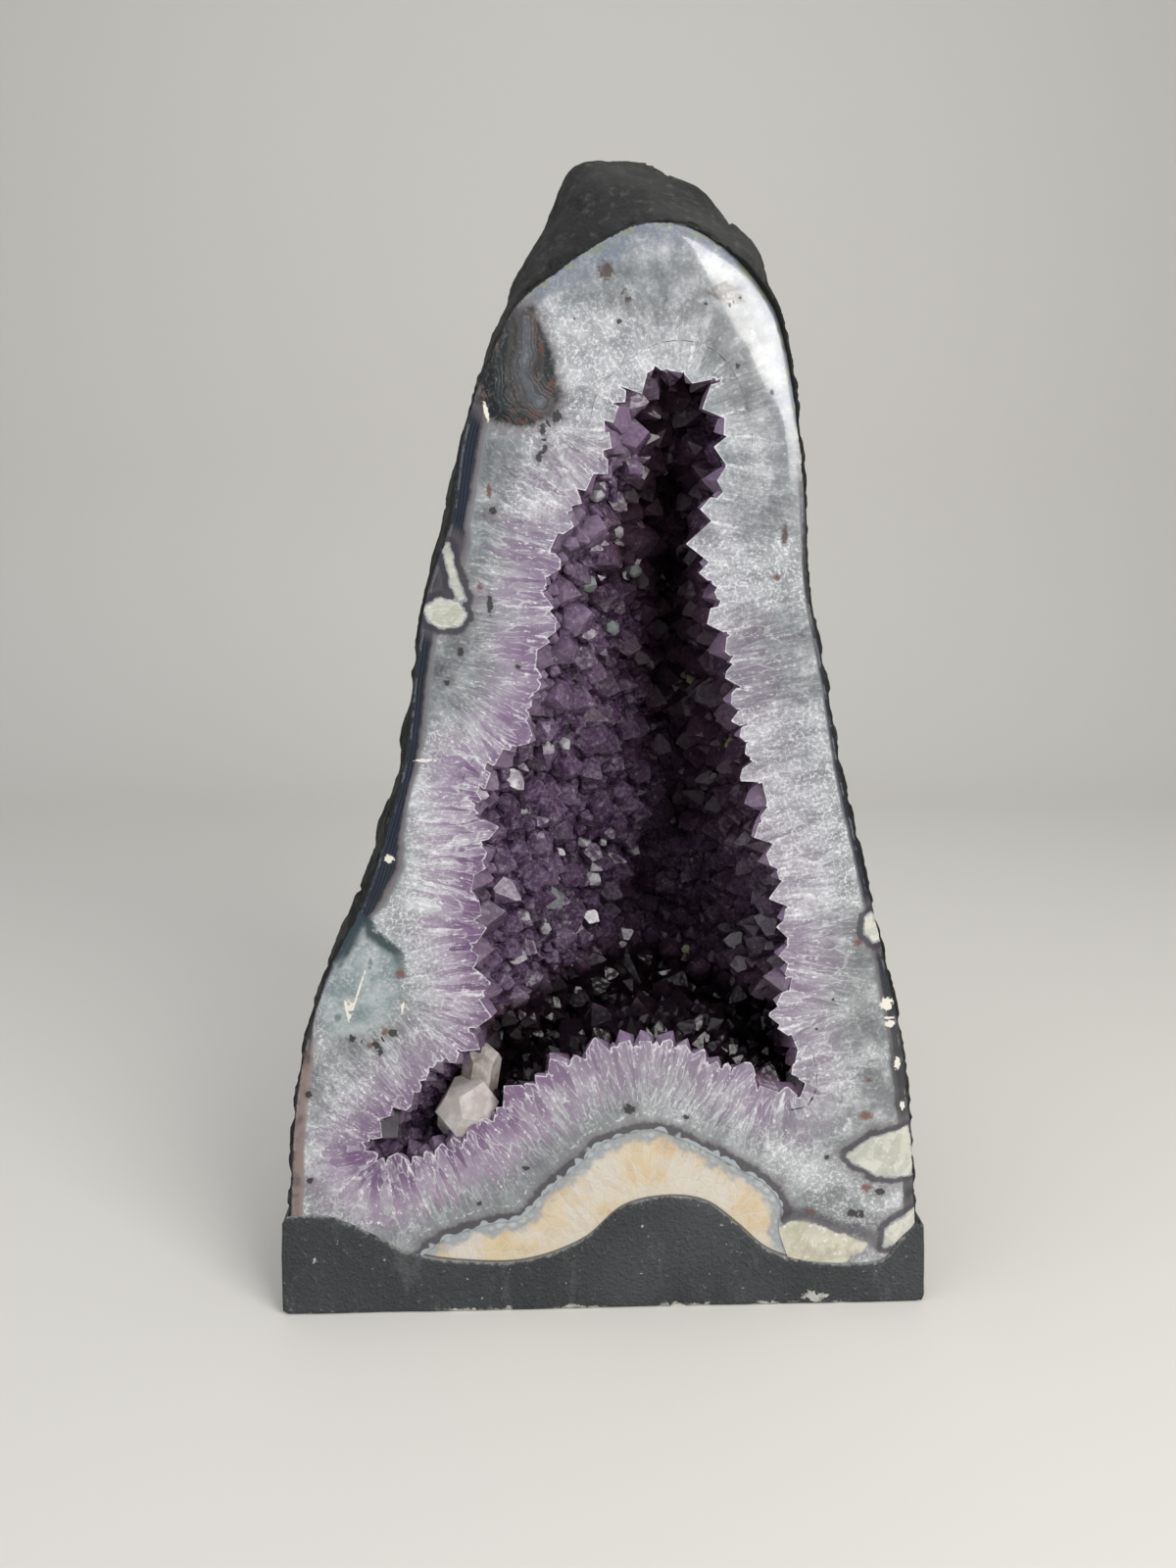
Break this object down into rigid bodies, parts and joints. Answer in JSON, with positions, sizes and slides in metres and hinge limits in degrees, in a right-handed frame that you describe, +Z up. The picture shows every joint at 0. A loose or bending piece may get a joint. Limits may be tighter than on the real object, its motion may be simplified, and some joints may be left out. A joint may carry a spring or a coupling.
{
  "type": "amethyst geode",
  "caption": "Tall amethyst geode, sawn open and polished in front, with a crystal-lined hollow and a flat cement base to stand on.",
  "frame": {"origin": "middle of the flat underside of the cement base, on the surface that the geode stands on", "axes": "+Z up, the sawn face looks towards -Y, +X to the viewer's right"},
  "size_m": [0.324, 0.244, 0.5683],
  "materials": {
    "cement": "matte, painted",
    "basalt": "rough",
    "quartz": "polished",
    "amethyst": "glassy",
    "calcite_cream": "polished",
    "calcite_clear": "satin"
  },
  "bodies": {
    "root": {"cement_base": "cement", "basalt_rind": "basalt", "quartz_wall": "quartz", "amethyst_crust": "amethyst", "calcite_seam": "calcite_cream", "calcite_crystals": "calcite_clear"}
  },
  "joints": []
}
